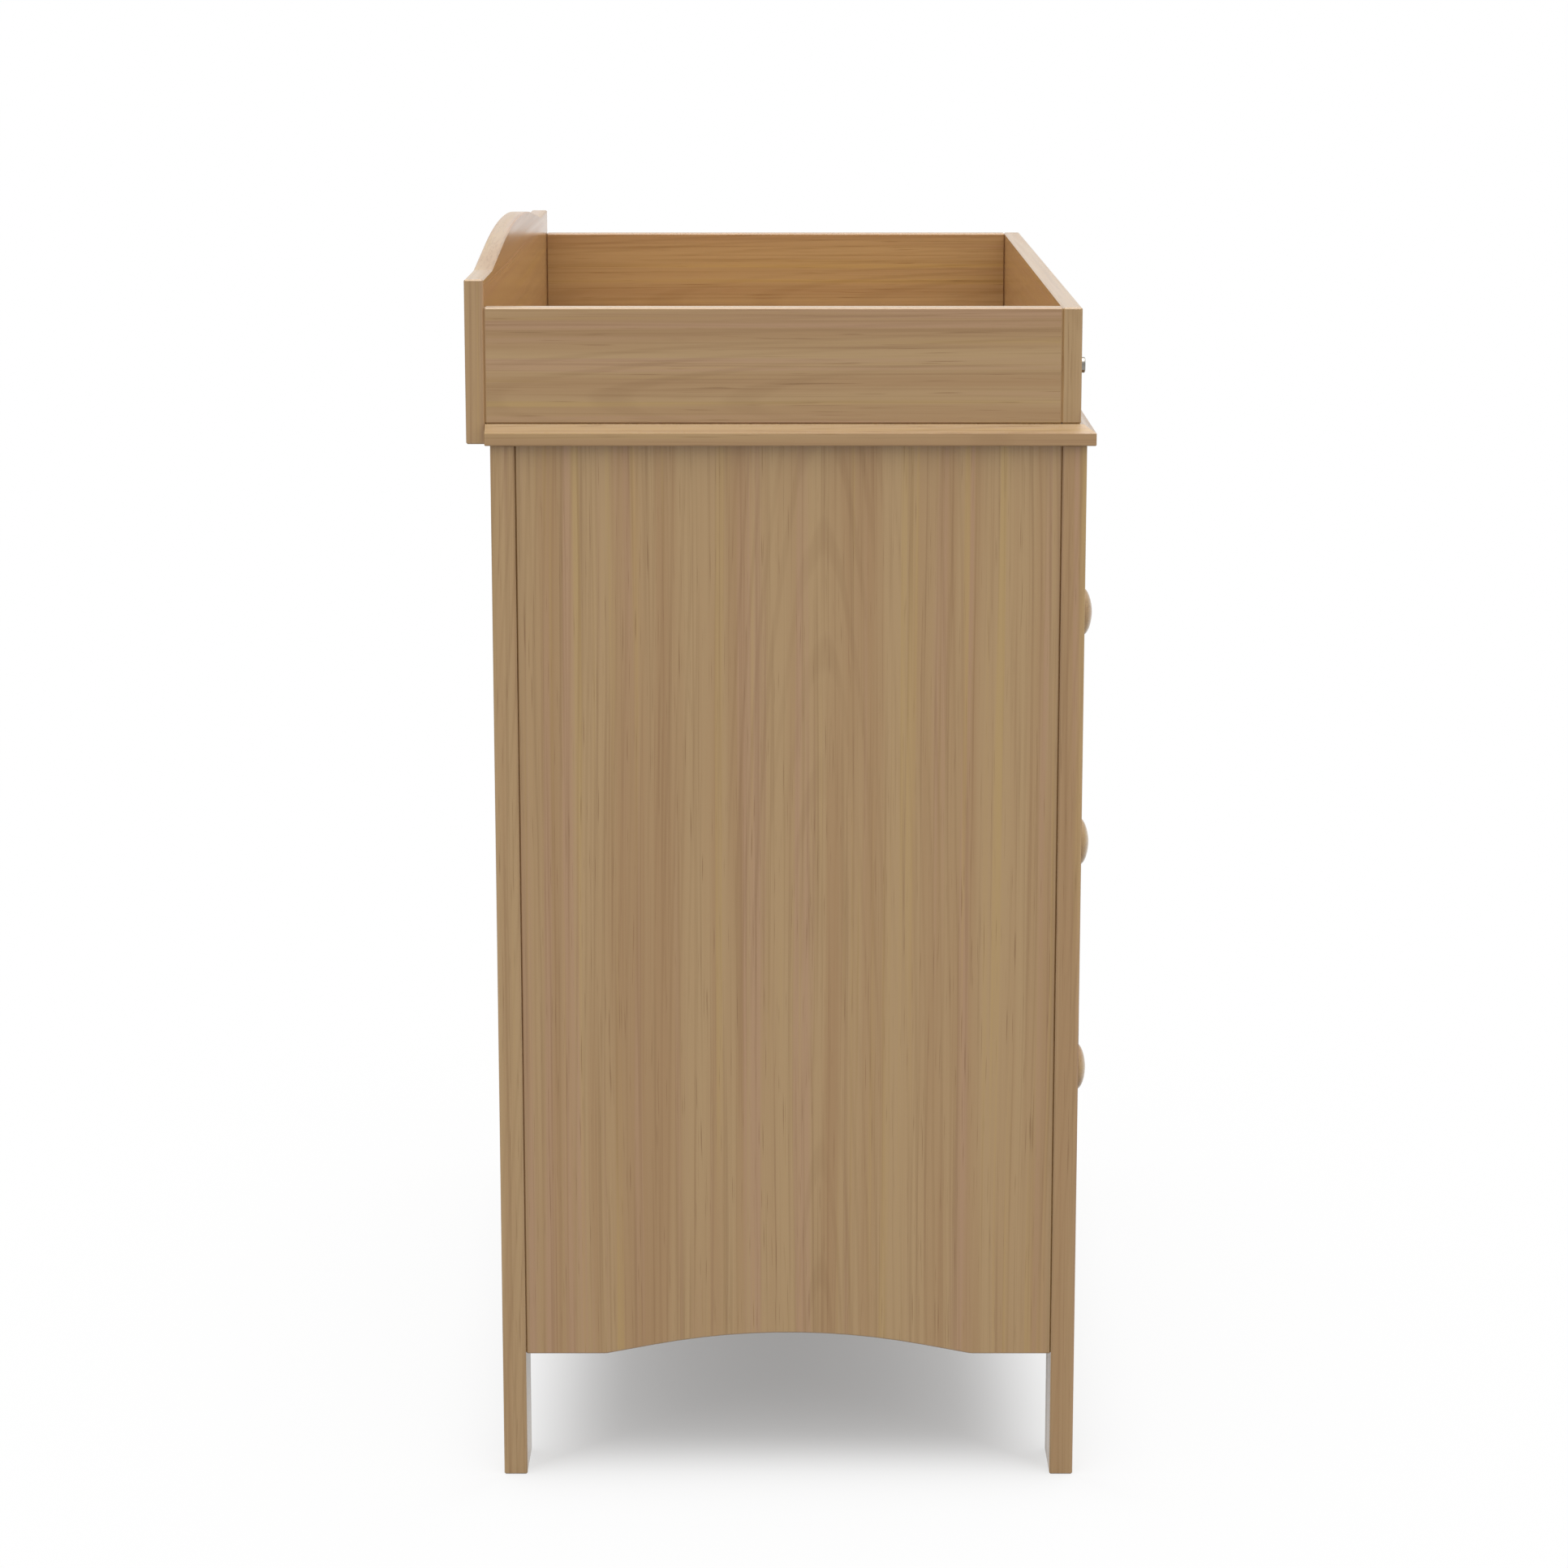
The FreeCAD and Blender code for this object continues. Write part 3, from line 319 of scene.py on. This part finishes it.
def pine(
    name, middle, axes, seed, colours=LACQUERED, roughness=SATIN, tray=False, wander=6, pith=(25, 45), lean=0.07
):
    """Pine centred on a board. Its wander and the pith's place are in mm, and the lean is the pith's slope."""
    material, tree = new_material(name)
    place = add(tree, "TexCoord")
    centred = add(tree, "Mapping", {"Location": -middle}, {"Vector": place.outputs["Object"]})
    part = add(tree, "SeparateXYZ", links={0: centred.outputs[0]})
    wide, thin, along = (part.outputs[axis] for axis in axes)
    face = add(tree, "CombineXYZ", links={0: wide, 1: thin, 2: along})
    end = add(tree, "CombineXYZ", links={0: thin, 1: along, 2: wide})
    normal = add(tree, "SeparateXYZ", links={0: place.outputs["Normal"]})
    steep = add(tree, "Math", operation="ABSOLUTE", links={0: normal.outputs[axes[2]]})
    is_end = add(tree, "Math", {1: END_SLANT}, {0: steep.outputs[0]}, operation="GREATER_THAN")
    links = {0: is_end.outputs[0], 4: face.outputs[0], 5: end.outputs[0]}
    board = add(tree, "Mix", links=links, data_type="VECTOR")

    def noise(layer, space):
        """One layer's noise, as wide across the grain and as long along it as the table says."""
        width_mm, length_mm, detail, step = NOISES[layer]
        scale = (1000 / width_mm, 1000 / width_mm, 1000 / length_mm)
        stretched = add(tree, "Mapping", {"Scale": scale}, {"Vector": space})
        values = {"W": seed * SEED_STRIDE + step, "Scale": 1, "Detail": detail, "Roughness": 0.55}
        return add(tree, "TexNoise", values, {"Vector": stretched.outputs[0]}, noise_dimensions="4D")

    def show(layer, source):
        """Stretches the part of a value's range in which a layer shows, with soft ends."""
        low, high, full = SHOWN[layer]
        values = {"From Min": low, "From Max": high, "To Max": full}
        return add(tree, "MapRange", values, {"Value": source}, interpolation_type="SMOOTHSTEP")

    def blend(factor, first, second):
        """Mixes two colours. Each is a hex value or an earlier mix."""
        values = {i: linear(c) for i, c in ((6, first), (7, second)) if isinstance(c, str)}
        links = {i: c.outputs[2] for i, c in ((6, first), (7, second)) if not isinstance(c, str)}
        return add(tree, "Mix", values, {0: factor.outputs[0], **links}, data_type="RGBA")

    # The grain's slow wander
    drift = noise("drift", board.outputs[1])
    swing = add(tree, "VectorMath", {1: (0.5, 0.5, 0.5)}, {0: drift.outputs["Color"]}, operation="SUBTRACT")
    stretch = (2 * wander * MM, 2 * wander * MM, 0)
    moved = add(tree, "VectorMath", {1: stretch}, {0: swing.outputs[0]}, operation="MULTIPLY")
    line = add(tree, "VectorMath", links={0: board.outputs[1], 1: moved.outputs[0]}, operation="ADD")
    grain = line.outputs[0]

    # Bands of early and late growth, then mauve and yellow streaks
    band = show("bands", noise("bands", grain).outputs["Fac"])
    wood = blend(band, colours["light"], colours["dark"])
    for layer in ("mauve", "glow"):
        wood = blend(show(layer, noise(layer, grain).outputs["Fac"]), wood, colours[layer])

    # Growth rings round a pith that leans through the board, so that some close into flames, in patches
    lean_part = add(tree, "SeparateXYZ", links={0: grain})
    depth = add(tree, "Math", {1: lean, 2: pith[1] * MM}, {0: lean_part.outputs[2]}, operation="MULTIPLY_ADD")
    depth = add(tree, "Math", links={0: depth.outputs[0], 1: lean_part.outputs[1]}, operation="ADD")
    side = add(tree, "Math", {1: pith[0] * MM}, {0: lean_part.outputs[0]}, operation="ADD")
    log = add(tree, "CombineXYZ", links={0: side.outputs[0], 1: depth.outputs[0]})
    values = {"Scale": RING_SCALE, "Distortion": RING_WOBBLE, "Detail": 1, "Detail Scale": 1.0}
    rings = add(tree, "TexWave", values, {"Vector": log.outputs[0]}, wave_type="RINGS", rings_direction="Z")
    late = show("rings", rings.outputs["Fac"])
    patchy = show("patches", noise("patches", grain).outputs["Fac"])
    late = add(tree, "Math", links={0: late.outputs[0], 1: patchy.outputs[0]}, operation="MULTIPLY")
    wood = blend(late, wood, colours["fibre"])

    # Fine dark streaks and fibres
    wood = blend(show("streaks", noise("streaks", grain).outputs["Fac"]), wood, colours["fibre"])
    fibres = noise("fibres", grain)
    wood = blend(show("fibres", fibres.outputs["Fac"]), wood, colours["fibre"])

    # The faces that look into the tray: painted bounce light, a warmer tint
    if tray:
        toward = -math.copysign(1, middle[AXES.index(axes[1])])
        inner = add(tree, "Math", {1: toward}, {0: normal.outputs[axes[1]]}, operation="MULTIPLY")
        values = {"From Min": 0.5, "From Max": 0.9, "To Max": 1.0}
        inner = add(tree, "MapRange", values, {"Value": inner.outputs[0]}, interpolation_type="SMOOTHSTEP")
        links = {0: inner.outputs[0], 6: wood.outputs[2]}
        wood = add(tree, "Mix", {7: PAINTED_BOUNCE_TINT}, links, data_type="RGBA", blend_type="MULTIPLY")

    # The dark bands shine a little less, and the fibres can be felt
    gloss = {"To Min": roughness - 0.03, "To Max": roughness + 0.05}
    rough = add(tree, "MapRange", gloss, {"Value": band.outputs[0]})
    values = {"Strength": 0.05, "Distance": FIBRE_RELIEF * MM}
    bump = add(tree, "Bump", values, {"Height": fibres.outputs["Fac"]})
    links = {"Base Color": wood.outputs[2], "Roughness": rough.outputs[0], "Normal": bump.outputs[0]}
    finish_material(tree, add(tree, "BsdfPrincipled", {"IOR": 1.5}, links))
    return material


def dress(node, material):
    """Gives a CAD node its material."""
    for slot in cad_nodes[node].material_slots:
        slot.material = material


# %% Lacquered boards
LACQUERED_BOARDS = (
    "side_panel_left", "side_panel_right", "leg_front_left", "leg_front_right", "leg_rear_left", "leg_rear_right",
    "top_panel", "front_top_rail", "front_apron", "rear_top_rail", "rear_bottom_rail", "topper_backboard",
    "topper_front_rail", "topper_end_left", "topper_end_right", "drawer_bottom_front", "drawer_middle_front",
    "drawer_top_front",
)
for seed, name in enumerate(LACQUERED_BOARDS, start=1):
    middle, axes = board_axes(name)
    dress(name, pine("lacquered_pine_" + name, middle, axes, seed, tray=name.startswith("topper")))
print(len(LACQUERED_BOARDS), "boards of lacquered pine")

# %% Unlacquered drawer boxes and cleats
RAW_SEED = 51
raw_boards = []
for seed, name in enumerate(cad_nodes, start=RAW_SEED):
    inside = name.startswith("drawer") and name.endswith(("_side_left", "_side_right", "_back"))
    if inside or name.startswith("runner_cleats"):
        middle, axes = board_axes(name, "X" if name.endswith("_back") else "Y")
        dress(name, pine("raw_pine_" + name, middle, axes, seed, RAW, PLANED))
        raw_boards.append(name)
print(len(raw_boards), "nodes of bare pine")

# %% [markdown]
# ## Hardboard, metals and nylon
#
# The back and the drawer bottoms are hardboard: wood fibre pressed with glue, brown and faintly flecked. The runners
# are cold-rolled steel under bright zinc, and the cams are die-cast zinc, greyer and duller. The topper's two bolts
# are nickel-plated and polished. Their colour is a mid-grey darker than bare nickel: painted shade in place of the
# dark surroundings that polished metal would mirror. The rollers are white nylon with a soft sheen. All of them are
# plain surfaces with small flecks, so one material function with a fleck size serves them all.


# %% A finish with flecks
def speckled(name, colour, fleck, size_mm, roughness, metallic=0.0, depth_mm=0.02):
    """A finish with small flecks of a second tone, which also vary its gloss."""
    material, tree = new_material(name)
    place = add(tree, "TexCoord")
    values = {"Scale": 1000 / size_mm, "Detail": 3, "Roughness": 0.6}
    grains = add(tree, "TexNoise", values, {"Vector": place.outputs["Object"]})
    spread = add(tree, "MapRange", {"From Min": 0.35, "From Max": 0.65}, {"Value": grains.outputs["Fac"]})
    tone = add(tree, "Mix", {6: linear(colour), 7: linear(fleck)}, {0: spread.outputs[0]}, data_type="RGBA")
    gloss = {"From Min": 0.3, "From Max": 0.7, "To Min": roughness * 0.85, "To Max": roughness * 1.15}
    rough = add(tree, "MapRange", gloss, {"Value": grains.outputs["Fac"]})
    bump = add(tree, "Bump", {"Strength": 0.4, "Distance": depth_mm * MM}, {"Height": grains.outputs["Fac"]})
    links = {"Base Color": tone.outputs[2], "Roughness": rough.outputs[0], "Normal": bump.outputs[0]}
    finish_material(tree, add(tree, "BsdfPrincipled", {"Metallic": metallic}, links))
    return material


# %% The six plainer finishes
# Brown, matt, with fibres that can just be told apart
hardboard = speckled("pressed_hardboard", "#8F7150", "#7B5F41", size_mm=1.6, roughness=0.5, depth_mm=0.05)
# Cold and pale, with a soft shine that clouds over some millimetres
zinc = speckled(
    "bright_zinc_plated_steel", "#B3B7BA", "#A6ABB0", size_mm=6, roughness=0.3, metallic=1.0, depth_mm=0.005
)
# Duller grey, with a fine cast grain
cast_zinc = speckled("die_cast_zinc", "#A9ACAE", "#999C9F", size_mm=1.2, roughness=0.45, metallic=1.0)
# A warm mid-grey darker than bare nickel: painted shade for the dark surroundings it would mirror
nickel = speckled(
    "nickel_plated_steel", "#8F8B84", "#88847D", size_mm=4, roughness=0.16, metallic=1.0, depth_mm=0.002
)
# Warm white with a soft sheen
nylon = speckled("white_nylon", "#E9E8E2", "#E3E1DA", size_mm=3, roughness=0.38)
# Pale brown and even
beech = speckled("beech_dowel", "#C9A777", "#BD9967", size_mm=1.5, roughness=0.6)
for finish in (hardboard, zinc, cast_zinc, nickel, nylon, beech):
    print("finish", finish.name)

# %% Give the plainer nodes their finish
FINISHES = {
    hardboard: ("back_panel", "drawer_bottom_bottom", "drawer_middle_bottom", "drawer_top_bottom"),
    cast_zinc: ("cam_locks",),
    nickel: ("topper_bolts",),
    beech: ("dowels",),
    zinc: ("cam_bolts", "topper_inserts", "backboard_screws"),
}
for material, names in FINISHES.items():
    for name in names:
        dress(name, material)
for name in cad_nodes:
    if "rollers" in name:
        dress(name, nylon)
    elif "runners" in name or name.endswith("_fixings"):
        dress(name, zinc)
print("finished", len(cad_nodes), "nodes")

# %% [markdown]
# ## Turned knobs
#
# Each knob is turned on a lathe from one piece of pine: a small foot, a slim waist, a hollow underside that flares
# out, a rounded rim and a low crown. The CAD knob has straight cuts, so smooth ones take its place. A short cylinder
# is the foot. Its outer face is then extruded and resized again and again, as a turner would cut the profile, which
# keeps the knob round and closed.


# %% Helpers for modelling
FRONT, REAR, LEFT, RIGHT = (0, -1, 0), (0, 1, 0), (-1, 0, 0), (1, 0, 0)
STEEP_DEG = 35  # edges steeper than this stay sharp


def clear_selection():
    """Leaves object mode with nothing selected."""
    if bpy.context.mode != "OBJECT":
        bpy.ops.object.mode_set(mode="OBJECT")
    bpy.ops.object.select_all(action="DESELECT")


def pick_top(piece):
    """Goes to edit mode with only the faces selected that look straight up."""
    bpy.ops.object.mode_set(mode="EDIT")
    bpy.ops.mesh.select_mode(type="FACE")
    bpy.ops.mesh.select_all(action="DESELECT")
    bpy.ops.object.mode_set(mode="OBJECT")
    for face in piece.data.polygons:
        face.select = face.normal.z > 0.9
    bpy.ops.object.mode_set(mode="EDIT")


def copy_to(piece, name, at, facing):
    """A copy with its own mesh, its +Z turned to face a direction, and its place in its mesh."""
    clear_selection()
    twin = bpy.data.objects.new(name, piece.data.copy())
    scene.collection.objects.link(twin)
    twin.rotation_mode = "QUATERNION"
    twin.rotation_quaternion = Vector(facing).to_track_quat("Z", "Y")
    twin.location = Vector(at) * MM
    twin.select_set(True)
    bpy.context.view_layer.objects.active = twin
    bpy.ops.object.transform_apply(location=True, rotation=True, scale=True)
    return twin


def join(pieces, name):
    """Several pieces as one, smooth but for its steep edges."""
    clear_selection()
    for piece in pieces:
        piece.select_set(True)
    bpy.context.view_layer.objects.active = pieces[0]
    bpy.ops.object.join()
    pieces[0].name = name
    bpy.ops.object.shade_smooth_by_angle(angle=math.radians(STEEP_DEG))
    return pieces[0]


# %% Turn one knob
FOOT_RADIUS, FOOT_HEIGHT, CROWN_HEIGHT = 9.4, 0.8, 25  # mm
PROFILE = (  # mm above the drawer's front, mm from the axis
    (1.6, 9.3), (2.8, 8.6), (4.2, 8.1), (6.0, 8.1), (8.0, 8.9), (10.0, 10.6), (11.8, 13.2), (13.2, 16.4),
    (14.2, 19.0), (15.0, 20.3), (16.0, 20.9), (17.2, 21.0), (18.4, 20.6), (19.8, 19.4), (21.2, 17.3), (22.5, 14.5),
    (23.6, 11.0), (24.4, 7.2), (24.9, 3.4),
)
clear_selection()
bpy.ops.mesh.primitive_cylinder_add(
    vertices=64, radius=FOOT_RADIUS * MM, depth=FOOT_HEIGHT * MM, location=(0, 0, FOOT_HEIGHT / 2 * MM)
)
knob = bpy.context.object
pick_top(knob)
height, radius = FOOT_HEIGHT, FOOT_RADIUS
for rise, reach in PROFILE:
    bpy.ops.mesh.extrude_region_move(TRANSFORM_OT_translate={"value": (0, 0, (rise - height) * MM)})
    bpy.ops.transform.resize(value=(reach / radius, reach / radius, 1))
    height, radius = rise, reach
bpy.ops.mesh.extrude_region_move(TRANSFORM_OT_translate={"value": (0, 0, (CROWN_HEIGHT - height) * MM)})
bpy.ops.mesh.merge(type="CENTER")
clear_selection()
print("knob", len(knob.data.polygons), "faces", [round(side / MM, 1) for side in knob.dimensions])

# %% A pair of knobs on each drawer
DRAWER_BASES = {"bottom": 200, "middle": 410, "top": 620}  # mm above the floor
KNOB_X, KNOB_FOOT_Y, KNOB_MIDDLE_Y, KNOB_UP = 212, -243.5, -256, 103  # mm, the last one above a drawer's base
KNOB_SEED = 31
for seed, (level, base) in enumerate(DRAWER_BASES.items(), start=KNOB_SEED):
    z = base + KNOB_UP
    pair = [copy_to(knob, "knob", (x, KNOB_FOOT_Y, z), FRONT) for x in (-KNOB_X, KNOB_X)]
    knobs = join(pair, f"drawer_{level}_turned_knobs")
    middle = Vector((0, KNOB_MIDDLE_Y * MM, z * MM))
    wood = pine("turned_pine_" + level, middle, ["X", "Z", "Y"], seed, wander=2, pith=(2, 30), lean=0.0)
    knobs.data.materials.clear()
    knobs.data.materials.append(wood)
    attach(knobs, f"drawer_{level}")
    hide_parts(f"drawer_{level}_knobs")
    print(knobs.name, "at", z, "mm")
bpy.data.objects.remove(knob)

# %% [markdown]
# ## Screw heads and cams
#
# The CAD fastenings are plain prisms. Where their ends can be seen, from behind, in an open drawer or on the
# runners, real ones show a round head with a cross recess. A head is modelled from a cylinder: its upper edge is
# bevelled, and a cross of two thin blocks is cut out of it. One head is made for each size of screw, and copies of
# it are set on all the screws of that size.

# %% A cross-recessed head
ARM_WIDTH, ARM_HEIGHT = 0.44, 1.1  # of how far the arm reaches, and of the head's height


def cross_head(radius, height, rounding, cross):
    """A head whose seat is at z = 0, with a recess whose arms reach so far, all in mm."""
    clear_selection()
    bpy.ops.mesh.primitive_cylinder_add(
        vertices=32, radius=radius * MM, depth=height * MM, location=(0, 0, height * MM / 2)
    )
    head = bpy.context.object
    pick_top(head)
    bpy.ops.mesh.bevel(offset=rounding * MM, segments=3, affect="EDGES")
    clear_selection()
    for size in ((2 * cross, cross * ARM_WIDTH), (cross * ARM_WIDTH, 2 * cross)):
        bpy.ops.mesh.primitive_cube_add(size=1, location=(0, 0, height * MM))
        arm = bpy.context.object
        arm.scale = (size[0] * MM, size[1] * MM, height * ARM_HEIGHT * MM)
        cut = head.modifiers.new("recess", "BOOLEAN")
        cut.object = arm
        cut.operation = "DIFFERENCE"
        cut.solver = "EXACT"
        clear_selection()
        bpy.context.view_layer.objects.active = head
        head.select_set(True)
        bpy.ops.object.modifier_apply(modifier=cut.name)
        bpy.data.objects.remove(arm)
    return head


def fit_heads(name, head, spots, body, material):
    """Copies of a head as one piece that rides on a body. A spot is a place in mm and the way it faces."""
    piece = join([copy_to(head, name, at, facing) for at, facing in spots], name)
    piece.data.materials.clear()
    piece.data.materials.append(material)
    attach(piece, body)
    print(name, len(spots), "heads on", body)


# %% Cams in the rails and side panels
RAIL_CAM_X = 336.5  # mm
RAIL_CAMS = (  # mm along Y and Z, and the way the cam faces
    (-225.5, 880.5, REAR), (-225.5, 169, REAR), (230.5, 880.5, FRONT), (230.5, 155.5, FRONT),
)
PANEL_CAM_X, PANEL_CAM_YS, PANEL_CAM_Z = 409.5, (-164.5, 168.5), 866
INWARD = ((-1, RIGHT), (1, LEFT))
OUTWARD = ((-1, LEFT), (1, RIGHT))
cam = cross_head(radius=7.7, height=0.4, rounding=0.15, cross=3.4)
spots = [((x, y, z), way) for x in (-RAIL_CAM_X, RAIL_CAM_X) for y, z, way in RAIL_CAMS]
spots += [((side * PANEL_CAM_X, y, PANEL_CAM_Z), way) for y in PANEL_CAM_YS for side, way in INWARD]
fit_heads("cam_faces", cam, spots, "carcass", cast_zinc)
bpy.data.objects.remove(cam)

# %% Screws through the backboard
BACKBOARD_REAR_Y = 268.5  # mm
BACKBOARD_SCREWS = (  # mm along X and Z
    (-415, 939), (-415, 991), (415, 939), (415, 991), (-200, 905.15), (200, 905.15),
)
flat = cross_head(radius=4.2, height=0.2, rounding=0.08, cross=2.2)
spots = [((x, BACKBOARD_REAR_Y, z), REAR) for x, z in BACKBOARD_SCREWS]
fit_heads("backboard_screw_faces", flat, spots, "carcass", zinc)

# %% Screws of the drawers and their runners
FRONT_BOARD_Y = -225.5  # the inner face of a drawer's front
CORNER_X, CORNER_Y, CORNER_UPS = 357.8, 168.5, (49, 143)
RUNNER_X, RUNNER_YS, RUNNER_UP = 359, (-180, -20, 120), 33
CABINET_RUNNER_X, CABINET_RUNNER_YS, CABINET_RUNNER_UP = 369.3, (-160, 0, 150), 33.8
pan = cross_head(radius=4.5, height=2.8, rounding=1.1, cross=2.4)
low = cross_head(radius=3.4, height=1.2, rounding=0.5, cross=1.9)
for level, base in DRAWER_BASES.items():
    drawer = f"drawer_{level}"
    spots = [((x, FRONT_BOARD_Y, base + KNOB_UP), REAR) for x in (-KNOB_X, KNOB_X)]
    fit_heads(drawer + "_knob_screw_heads", pan, spots, drawer, zinc)
    spots = [((side * CORNER_X, CORNER_Y, base + up), way) for side, way in OUTWARD for up in CORNER_UPS]
    fit_heads(drawer + "_corner_screw_faces", flat, spots, drawer, zinc)
    spots = [((side * RUNNER_X, y, base + RUNNER_UP), way) for side, way in OUTWARD for y in RUNNER_YS]
    fit_heads(drawer + "_runner_screws", low, spots, drawer, zinc)
    z = base + CABINET_RUNNER_UP
    spots = [((side * CABINET_RUNNER_X, y, z), way) for side, way in INWARD for y in CABINET_RUNNER_YS]
    fit_heads(f"cabinet_runner_screws_{level}", low, spots, "carcass", zinc)
for head in (flat, pan, low):
    bpy.data.objects.remove(head)
